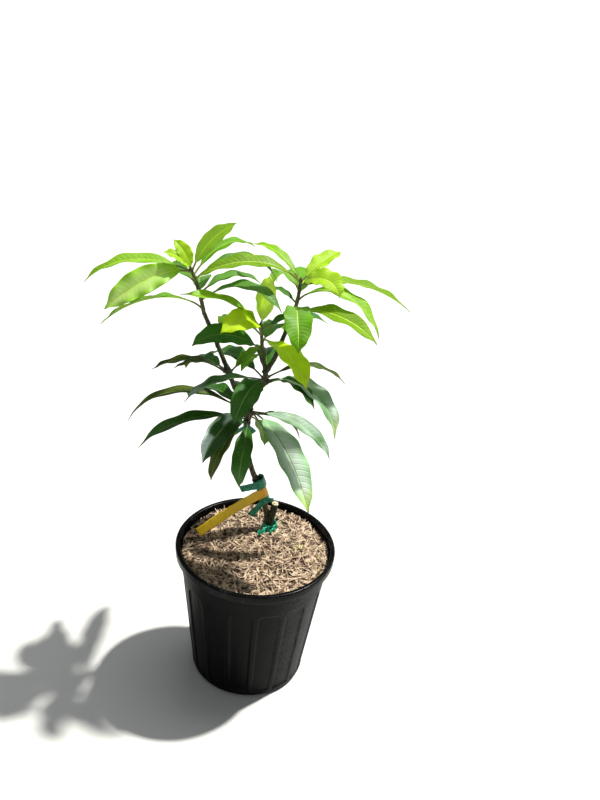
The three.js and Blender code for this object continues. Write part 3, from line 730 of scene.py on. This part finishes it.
BLADE = dict(stalk=0.9, knuckle=1.5, fold=18.0, rise=0.76, taper=0.84, thick=0.42, rib=0.55, drip=0.45,
             twist=9.0, wave=(0.03, 0.07), wave_count=(2.6, 4.2), sway=0.035, sway_count=4.3)
ROWS = dict(each_mm=0.9, limits=(36, 110), stalk=6, crowd=0.45)
STEPS = 60
# Places across a blade from one margin to the other, over its upper face and back under it.
ACROSS = array([1, 0.93, 0.8, 0.62, 0.43, 0.25, 0.11, 0.035, 0])
TOP = concatenate([ACROSS, -ACROSS[-2::-1]])
RING = concatenate([TOP, TOP[-2:0:-1]])
LOWER_FACE = arange(len(RING)) >= len(TOP) - 1
FACE_SIGN = where(LOWER_FACE, -1.0, 1.0)
FACE_SIGN[len(TOP) - 1] = 1.0


def lance(s):
    """Share of the full width at share s of a blade: s^rise (1 - s)^taper over its own peak, drawn in
    to a narrow drip tip."""
    at = lambda x: clip(x, 0, 1) ** BLADE["rise"] * clip(1 - x, 0, 1) ** BLADE["taper"]
    drip = 1 - BLADE["drip"] * ease(s, 0.84, 0.97)
    return at(s) / at(BLADE["rise"] / (BLADE["rise"] + BLADE["taper"])) * drip


def leaf_path(root, row, shares):
    """Midrib of a leaf: the rise falls and the heading turns as share ** bend, and equal steps in
    those directions add up from the root. Returns points, directions ahead and directions left."""
    heading, rise, length, droop, swing, bend = (row[k] for k in (1, 2, 3, 5, 6, 8))

    def direction(share):
        fall = share**bend
        up, turn = radians(rise - droop * fall), radians(heading + swing * fall)
        ahead = stack([cos(up) * cos(turn), cos(up) * sin(turn), sin(up)], -1)
        return ahead, stack([-sin(turn), cos(turn), 0 * turn], -1)

    even = arange(STEPS + 1) / STEPS
    moves = direction((arange(STEPS) + 0.5) / STEPS)[0] * length / STEPS
    path = root + np.vstack([[0, 0, 0], np.cumsum(moves, 0)])
    points = stack([np.interp(shares, even, path[:, k]) for k in range(3)], -1)
    return points, *direction(shares)


def add_leaf(skin, root, row, seed, age):
    """One leaf as a closed skin: a round stalk that opens into a folded blade. Across the blade
    (1 and -1 at its margins) a point lies at half width times across, lifted by the fold, by waves
    that grow towards the margin, and by the swell between side veins; the rib adds a bell."""
    random = np.random.default_rng(seed)
    length, width, roll, finish = row[3], row[4], row[7], row[9]
    even = linspace(0, 1, int(clip(length * ROWS["each_mm"], *ROWS["limits"])))
    spread = (1 - ROWS["crowd"]) * even + ROWS["crowd"] * (1 - cos(pi * even)) / 2
    stalk = linspace(0, 1, ROWS["stalk"] + 1)[:-1]
    shares = concatenate([STALK_SHARE * stalk, STALK_SHARE + (1 - STALK_SHARE) * spread])
    points, ahead, left = leaf_path(root, row, shares)
    s = ((shares - STALK_SHARE) / (1 - STALK_SHARE))[:, None]
    twist = radians(roll + random.uniform(-BLADE["twist"], BLADE["twist"]) * clip(s, 0, 1))
    side = cos(twist) * left + sin(twist) * np.cross(ahead, left)
    up = np.cross(ahead, side)
    v = RING[None, :]
    out = abs(v)
    base = BLADE["stalk"] + (BLADE["knuckle"] - BLADE["stalk"]) * (1 - ease(shares, 0, 0.035))[:, None]
    neck = base * (1 - 0.93 * ease(s, -0.02, 0.12))
    sway = sin(2 * pi * (BLADE["sway_count"] * s + 0.35 * np.sign(v)) + seed)
    blade = 0.5 * width * lance(s) * (1 + BLADE["sway"] * sway)
    half = sqrt(neck**2 + blade**2)
    fold = radians(BLADE["fold"]) * ease(s, 0, 0.15)
    wave_size = width * random.uniform(*BLADE["wave"]) * ease(s, 0.03, 0.25) * (1 - ease(s, 0.86, 1.0))
    wave_turn = where(v > 0, *random.uniform(0, 2 * pi, 2))
    waves = wave_size * out**2 * sin(2 * pi * random.uniform(*BLADE["wave_count"]) * s + wave_turn)
    phase = (s - VEINS["slant"] * out ** VEINS["curve"]) * VEINS["count"]
    swell = VEINS["relief"] * (abs(sin(pi * (phase + 0.5))) - 0.6) * (1 - out**2)
    swell = swell * np.minimum(1, out * 4) * ease(s, 0.02, 0.2) * (1 - ease(s, 0.85, 1.0))
    lift = out * half * sin(fold) * (1.35 - 0.5 * out) + waves + swell
    rib = BLADE["rib"] * (1.25 - s) * ease(s, -0.02, 0.1) * exp(-((v * half / 0.8) ** 2))
    shell = (neck + (BLADE["thick"] / 2 - neck) * ease(s, -0.02, 0.16)) * sqrt(1 - v**2)
    lift = lift + FACE_SIGN * shell + where(LOWER_FACE, -rib, rib * 0.3)
    reach = v * half * cos(fold)
    grid = points[:, None] + reach[..., None] * side[:, None] + lift[..., None] * up[:, None]
    between = 0.5 * (out[0] + np.roll(out[0], -1))
    rib_name = skin.mark("old_rib" if finish in DARK_LEAVES else age + "_rib")
    under = skin.mark(("blond" if finish == "blond" else age) + "_under")
    marks = where(LOWER_FACE, under, skin.mark(finish))
    marks = where(between < 0.05, rib_name, marks)
    marks = where((shares < STALK_SHARE * 1.03)[:-1, None], skin.mark(age + "_stalk"), marks[None, :])
    uv = stack(np.broadcast_arrays((1 - v) / 2, clip(s, 0, 1)), -1)
    skin.wrap(grid[None], marks, concatenate([uv, uv[:, :1]], 1))


def seeded(state):
    """Repeatable random numbers from 0 to 1."""
    while True:
        state = state * 16807 % 2147483647
        yield state / 2147483647


def back_leaves(count, first, last, length, seed, finish):
    """Leaves behind: spread over a range of headings with small random changes."""
    random = seeded(seed)
    next(random)
    rows = []
    for share in (arange(count) + 0.5) / count:
        heading = first + (last - first) * share + 10 * (next(random) - 0.5)
        rows.append((0.25 + 0.6 * share, heading, 8 + 12 * next(random),
                     length * (0.9 + 0.2 * next(random)), 22 + 3 * next(random), 62 + 16 * next(random),
                     20 * (next(random) - 0.5), 0, 1.3, finish))
    return rows


def make_whorl(name, rows, seed, age, root_of):
    """All the leaves of one whorl, as one piece."""
    leaves = Skin()
    for number, row in enumerate(rows):
        add_leaf(leaves, root_of(row), row, seed + number, age)
    leaves.piece("leaves_" + name, age + "_leaf", ["foliage_" + name])


def make_twig_mass(name, twig, rows, seed):
    """The whorl on a twig: its leaves in one piece, and the twig with its end bud in another."""
    make_whorl(name, rows, seed, "young", lambda row: curve(twig, [row[0]])[0])
    wood = stem_grid(twig, 20, 0.7, 0.4, 2.6, seed, bud=6.0, sink=2.0)
    Skin().wrap(wood, "twig_bark").piece("twig_" + name, "young_leaf")


def make_collar_mass(name, collar, rows, seed):
    """The whorl round a limb: each leaf's root lies in the swollen node, facing its own way."""
    stem = collar["on"]

    def root_of(row):
        share = up_collar(collar, row[0]) / curve(stem)
        heading = radians(row[1])
        out = array([cos(heading), sin(heading), 0.0])
        return curve(stem, [share])[0] + out * (girth(stem, share) + ROOT_OUT)

    make_whorl(name, rows, seed, "old", root_of)


def make_leaves():
    make_twig_mass("left", TWIG_LEFT, LEFT_LEAVES + back_leaves(2, 80, 150, 95, 11, "mid"), 100)
    make_twig_mass("centre", TWIG_CENTRE, CENTRE_LEAVES + back_leaves(2, 60, 150, 85, 23, "mid"), 200)
    make_twig_mass("right", TWIG_RIGHT, RIGHT_LEAVES + back_leaves(2, 60, 125, 95, 37, "bright"), 300)
    make_collar_mass("fork", COLLAR_FORK, FORK_LEAVES + back_leaves(2, 70, 150, 100, 41, "deep"), 400)
    make_collar_mass("mid", COLLAR_MID, MID_LEAVES + back_leaves(1, 110, 150, 75, 53, "deep"), 500)
    make_collar_mass("lower", COLLAR_LOWER, LOWER_LEAVES + back_leaves(2, 80, 150, 105, 67, "deep"), 600)


# ---- pot ----
POT = dict(height=158.0, band_radius=79.6, band_drop=12.0, top_radius=76.8, foot_radius=59.5, foot_round=5.0,
           panels=16, panel_top=125.0, panel_foot=7.0, panel_corner=6.0, recess=1.3, rib_share=0.16, turn=4.5)
LIP = dict(radius=82.5, drop=9.5, round=1.7)
# radius and height: the hollow under the foot, and the inside from under the lip down to the floor
POT_UNDER = [[20, 0.6], [48, 0.6], [50, 0.0]]
POT_INSIDE = [[77.8, 150], [77.4, 149.2], [74.3, 147.6], [74, 146.5], [57.311, 6], [54.438, 2.8], [20, 2.4]]
COLUMNS = 30
# rows of the profile on the band and on the lip
BAND_ROWS, LIP_ROWS = 5, 20


def arc(r, z, radius, start, end, count):
    """Points of a round edge, as radius from the pot's axis and height."""
    a = radians(linspace(start, end, count))
    return stack([r + radius * cos(a), z + radius * sin(a)], -1)


def body_radius(z):
    """Outer radius of the pot's tapered wall, with its rounded foot."""
    slope = (POT["top_radius"] - POT["foot_radius"]) / (POT["height"] - POT["band_drop"])
    edge = POT["foot_round"]
    drop = clip(edge - z, 0, edge)
    return POT["foot_radius"] + slope * z - edge + sqrt(edge**2 - drop**2)


def panel_depth(v, z):
    """0 on the ribs and 1 inside a panel, eased over its edges. v is -1 to 1 across a panel; the
    upper edge is level in the middle and rounds down to the ribs."""
    rib = 1 - POT["rib_share"]
    past = clip((abs(v) - (rib - 0.4)) / 0.4, 0, 1)
    top = POT["panel_top"] - 2 * POT["panel_corner"] * (1 - sqrt(1 - past**2))
    return ease((rib - abs(v)) / 0.09) * ease((top - z) / 2.0) * ease((z - POT["panel_foot"]) / 2.5)


def make_pot():
    """The pot as a turned profile, foot to lip and down inside, with its panels pressed in."""
    top = POT["height"]
    step = top - POT["band_drop"]
    heights = concatenate([5 * (1 - cos(linspace(0.15, 1, 6) * pi / 2)), linspace(6.5, 11, 6),
                           linspace(14, 106, 24), linspace(109, 128, 20), linspace(131, step, 6)])
    wall = stack([body_radius(heights), heights], -1)
    under, band = top - LIP["drop"], POT["band_radius"]
    lip, edge = LIP["radius"], LIP["round"]
    profile = concatenate([
        POT_UNDER, [[body_radius(0.0), 0.0]], wall,
        arc(band - 0.8, step + 0.8, 0.8, -90, 0, 4), [[band, under]],
        arc(lip - 1.1, under + 0.9, 0.8, -90, 0, 5), [[lip - 0.1, under + 4]],
        arc(lip - edge, top - edge, edge, 0, 90, 8), arc(band - 0.6, top - 1.2, 1.2, 90, 180, 6), POT_INSIDE])
    turns = POT["panels"] * COLUMNS
    a = radians(POT["turn"]) - pi / 2 + 2 * pi * arange(turns) / turns
    v = 2 * (arange(turns) % COLUMNS) / COLUMNS - 1
    foot = len(POT_UNDER) + 1
    on_wall = np.zeros(len(profile))
    on_wall[foot:foot + len(wall)] = 1
    r, z = profile[:, :1], profile[:, 1:]
    r = r - POT["recess"] * on_wall[:, None] * panel_depth(v[None, :], z)
    r = r + 0.12 * lumps(cos(a) * 4 + 9, z / 26 + sin(a) * 4, 5) * ease(z, 2, 20)
    grid = stack(np.broadcast_arrays(r * cos(a), r * sin(a), z), -1)
    skin = Skin()
    marks = np.full((len(profile) - 1, turns), skin.mark("pot_plastic"))
    first = foot + len(wall) + BAND_ROWS
    marks[first:first + LIP_ROWS] = skin.mark("pot_lip")
    skin.wrap(grid[None], marks).piece("pot_shell", "pot_plastic", ["pot"])


# ---- mulch ----
# PLUG: radius and height of the rings under the filling
SOIL = dict(top=148.0, heap=0.8, back_rise=4.0, level_radius=12.0, reach=76.2, rows=64, sides=150)
PLUG = ((5, 136), (70, 136), (73.6, 136), (73.8, 146))
STRAND = dict(rows=5, lengths=(3, 30), bends=(0.28, 0.06, 0.3), flat=0.286, spot=3.5)
# name, finish, count, length, width, how high it may lie, seed
STRANDS = (
    ("strands_dark", "dark_fibre", 1150, 10.0, 1.7, 1.0, 41),
    ("strands_brown", "brown_fibre", 1250, 11.0, 1.7, 1.8, 42),
    ("strands_pale", "pale_fibre", 1700, 12.0, 1.65, 2.7, 43),
    ("flecks_green", "fleck", 22, 4.0, 2.2, 3.0, 44, [(43, 10), (69, -16), (71, -6)]),
)


def soil_height(x, y):
    """Height of the mulch: low sine heaps, higher at the back and level round the trunk's foot."""
    heaps = sin(x / 9 + 1.3) * cos(y / 11) + 0.5 * sin((x + y) / 5.5)
    away = np.hypot(x - FOOT[0], y - FOOT[1]) - SOIL["level_radius"]
    fade = clip(away / SOIL["level_radius"], 0, 1)
    back = SOIL["back_rise"] * (y / POT["band_radius"] - 0.35)
    return SOIL["top"] + fade * (SOIL["heap"] * heaps + back)


def make_bed():
    """The filling's top: a disc of rings, its height with crumbs on it, over a plug that fits the pot."""
    a = 2 * pi * arange(SOIL["sides"]) / SOIL["sides"]
    plug_r, plug_z = array(PLUG, float).T
    inwards = linspace(0, 1, SOIL["rows"]) ** 0.9 * (SOIL["reach"] - 0.8)
    r = concatenate([plug_r, SOIL["reach"] - inwards])[:, None]
    x, y = r * cos(a), r * sin(a)
    z = soil_height(x, y) + 1.1 * lumps(x / 4, y / 4, 31) + 0.6 * lumps(x / 1.7, y / 1.7, 32)
    z[:len(PLUG)] = plug_z[:, None]
    Skin().wrap(stack([x, y, z], -1)[None], "peat").piece("mulch_bed", "mulch", ["soil"])


def make_strands(name, finish, count, length, width, lift, seed, spots=None):
    """Shredded strands: each an arc on the bed, tapered to both ends, with a diamond section. They lie
    all over the bed, or scattered about a few spots."""
    random = np.random.default_rng(seed)
    far, turn = SOIL["reach"] * sqrt(random.uniform(0, 1, count)), random.uniform(0, 2 * pi, count)
    heading, roll = random.uniform(0, 2 * pi, (2, count))[..., None]
    long = (length * exp(random.normal(0, 0.42, count))).clip(*STRAND["lengths"])[:, None]
    bends = array(STRAND["bends"])[:, None, None]
    bow, tilt, curl = random.normal(0, 1, (3, count))[..., None] * bends
    t = linspace(-0.5, 0.5, STRAND["rows"])[None, :]
    middle_x, middle_y = far * cos(turn), far * sin(turn)
    if spots is not None:
        middle_x, middle_y = np.resize(spots, (count, 2)).T + random.normal(0, STRAND["spot"], (2, count))
    x = middle_x[:, None] + long * (t * cos(heading) - bow * (t**2 - 0.08) * sin(heading))
    y = middle_y[:, None] + long * (t * sin(heading) + bow * (t**2 - 0.08) * cos(heading))
    reach = np.hypot(x, y).max(1, keepdims=True)
    pull = np.minimum(1, (SOIL["reach"] - 0.6) / reach)
    x, y = x * pull, y * pull
    rise = lift * random.uniform(0, 1, count)[:, None]
    z = soil_height(x, y) + 0.6 + rise + long * (tilt * t + abs(curl) * t**2 * 0.5)
    way = heading + 2 * bow * t
    side = stack([-sin(way), cos(way), 0 * way], -1)[:, :, None]
    wide = width * exp(random.normal(0, 0.3, count))[:, None]
    wide = wide * (0.25 + 0.75 * sqrt(1 - (2 * t) ** 2 * 0.98))
    corner = arange(4) * pi / 2
    tip = 0.5 * sin(roll)[:, :, None]
    across = wide[..., None] / 2 * cos(corner + tip)
    above = wide[..., None] * STRAND["flat"] * sin(corner + tip)
    grid = stack([x, y, z], -1)[:, :, None] + across[..., None] * side + above[..., None] * UP
    Skin().wrap(grid, finish).piece(name, "mulch", faceted=True)


def make_mulch():
    make_bed()
    for row in STRANDS:
        make_strands(*row)


# ---- tape and label ----
BAND_POINTS, TAIL_POINTS = 9, 22


def ribbon(points, across, width, thick, crumple, seed):
    """A flat band along points as one closed skin: a thin section, its width along across, pushed
    off its plane by creases that run over it."""
    ahead = unit(np.gradient(points, axis=0))
    wide = square_to(across, ahead)
    face = np.cross(ahead, wide)
    v = concatenate([linspace(1, -1, BAND_POINTS), linspace(-1, 1, BAND_POINTS)])
    sign = np.repeat([1.0, -1.0], BAND_POINTS)
    run = travel(points)[:, None]
    crease = lumps(run / 2.6 + v, v * width / 5 + run / 9, seed)
    crease = crease + 0.6 * lumps(run / 1.2, v * width / 2.4, seed + 1)
    body = crumple * crease + sign * thick / 2
    edge = 0.5 * width * (1 + 0.07 * lumps(run / 4, np.sign(v) * 3.1, seed + 2))
    return (points[:, None] + (v * edge)[..., None] * wide[:, None] + body[..., None] * face[:, None])[None]


def ring_on(stem, at, aside=0.0):
    """A ring round a limb, at mm up it and moved by aside across: its centre, its three directions
    and the limb's radius there."""
    length = curve(stem)
    near = curve(stem, array([at - 2, at, at + 2]) / length)
    axis = unit(near[2] - near[0])
    side = square_to(RIGHT, axis)
    return near[1] + aside * side, side, np.cross(axis, side), axis, girth(stem, at / length)


def wind(ring, out, start, end, count, climb=0.0):
    """A winding round a limb, its distance from the bark growing from out[0] to out[1] and its
    height rising by climb."""
    centre, side, other, axis, radius = ring
    share = linspace(0, 1, count)
    reach = radius + out[0] + (out[1] - out[0]) * share
    a = radians(start + (end - start) * share)
    return centre + reach[:, None] * (cos(a)[:, None] * side + sin(a)[:, None] * other) + (
        climb * (share - 0.5))[:, None] * axis


def flap(start, end, sag):
    """A tail's middle line: straight between its ends but for an even bow."""
    t = linspace(0, 1, TAIL_POINTS)[:, None]
    return start + (end - start) * t + 4 * t * (1 - t) * sag


# name, stem, height on it, gap inside and outside the turns, aside, width, crumple, then the tails:
# the angle round the band and the height on it where a tail leaves, its end, its width
TIES = (
    ("tie_upper", TRUNK, 131, (0.35, 1.2), 0.0, 10, 0.28,
     [(-110, 1.5, (-38, -5, 120), 4), (-60, 1.5, (-18.3, -5, 123), 5)]),
    ("tie_lower", TRUNK, 61, (3.1, 3.7), 2.7, 10, 0.3, [(-100, 0, (-28.5, -7.5, 54), 8)]),
    ("tie_graft", TRUNK, 40, (2.1, 2.7), 1.7, 8, 0.3,
     [(-105, -1, (-16, -8, 22), 7), (-60, 1, (6.5, -4.8, 41), 5)]),
    ("tie_base", STUB, 4.9, (1.9, 3.6), 0.0, 8, 0.9,
     [(-110, 0, (-6.5, -17, 4.6), 7), (-60, 0, (6, -13, 4.2), 5)]),
)
TAPE = dict(thick=0.3, turns=(-615, 85), climb=1.6, sag=(0, -1, 0.8))


def make_ties():
    """Plant tape: two turns round the stem that climb over each other, and flat crumpled tails."""
    for seed, (name, stem, at, out, aside, width, crumple, tails) in enumerate(TIES):
        bright = name == "tie_base"
        finish = "tape_bright" if bright else "tape_dark"
        skin = Skin()
        ring = ring_on(stem, at, aside)
        axis = ring[3]
        band = wind(ring, out, *TAPE["turns"], 110, climb=TAPE["climb"])
        skin.wrap(ribbon(band, axis, width, TAPE["thick"], crumple, 70 + seed), finish)
        for number, (angle, up, end, wide) in enumerate(tails):
            start = wind(ring, (out[1],) * 2, angle, angle, 1)[0] + up * axis
            line = flap(start, FOOT + end, TAPE["sag"])
            tail = ribbon(line, axis, wide, TAPE["thick"], crumple * 1.3, 80 + 3 * seed + number)
            skin.wrap(tail, finish)
        skin.piece(name + "_film", "tie_bright" if bright else "tie_green", [name])


LABEL = dict(at=50, out=2.6, aside=1.9, width=11.0, thick=0.5, crumple=0.07, turns=(160, -80),
             bend=(-29, -16, 41), tip=(-68, -38, 17))


def make_label():
    """Blank strip: a loop round the trunk that leads into a quadratic curve to its free end."""
    ring = ring_on(TRUNK, LABEL["at"], LABEL["aside"])
    loop = wind(ring, (LABEL["out"],) * 2, *LABEL["turns"], 40)
    a, b, c = loop[-1], FOOT + LABEL["bend"], FOOT + LABEL["tip"]
    t = linspace(0, 1, 60)[1:, None]
    tail = (1 - t) ** 2 * a + 2 * t * (1 - t) * b + t**2 * c
    line = np.vstack([loop, tail])
    strip = ribbon(line, ring[3], LABEL["width"], LABEL["thick"], LABEL["crumple"], 95)
    Skin().wrap(strip, "label_plastic").piece("label_blank", "label_yellow", ["label_strip"])


def make_floor():
    half = FLOOR["half"]
    mesh = bpy.data.meshes.new("floor")
    corners = [(-half, -half, 0), (half, -half, 0), (half, half, 0), (-half, half, 0)]
    mesh.from_pydata(corners, [], [(0, 1, 2, 3)])
    mesh.materials.append(Paint("floor").set(base_color=FLOOR["colour"], roughness=0.9))
    put("floor", mesh)


make_camera()
make_lights()
make_floor()
make_pot()
make_mulch()
make_trunk()
make_boughs()
make_leaves()
make_ties()
make_label()
